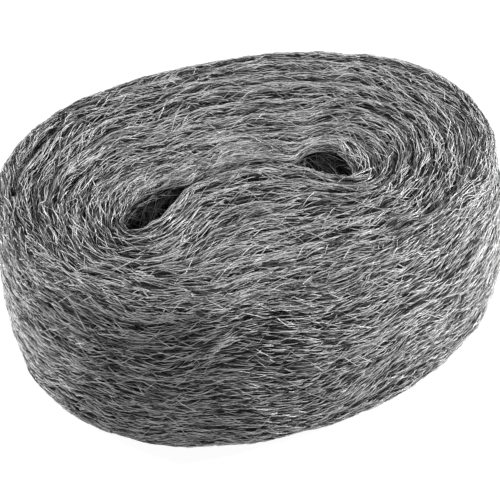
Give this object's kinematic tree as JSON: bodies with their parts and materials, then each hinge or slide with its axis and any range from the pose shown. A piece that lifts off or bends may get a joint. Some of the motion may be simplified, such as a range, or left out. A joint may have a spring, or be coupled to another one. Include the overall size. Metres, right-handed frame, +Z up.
{
  "type": "steel wool pad",
  "caption": "Oval pad of fine steel wool: a ribbon of fibres wound flat on itself round a closed slit with an open eye at each end, for scouring, rubbing down and polishing.",
  "frame": {"origin": "middle of the roll's length and width, on the surface that it lies on", "axes": "+X along the long way of the oval, +Y across it towards the side that the slit arches to, +Z up"},
  "size_m": [0.15, 0.1156, 0.056],
  "materials": {
    "steel_wool": "bare fine steel fibres, bright strands over dark gaps"
  },
  "bodies": {
    "root": {"wool_roll": "steel_wool"}
  },
  "joints": []
}
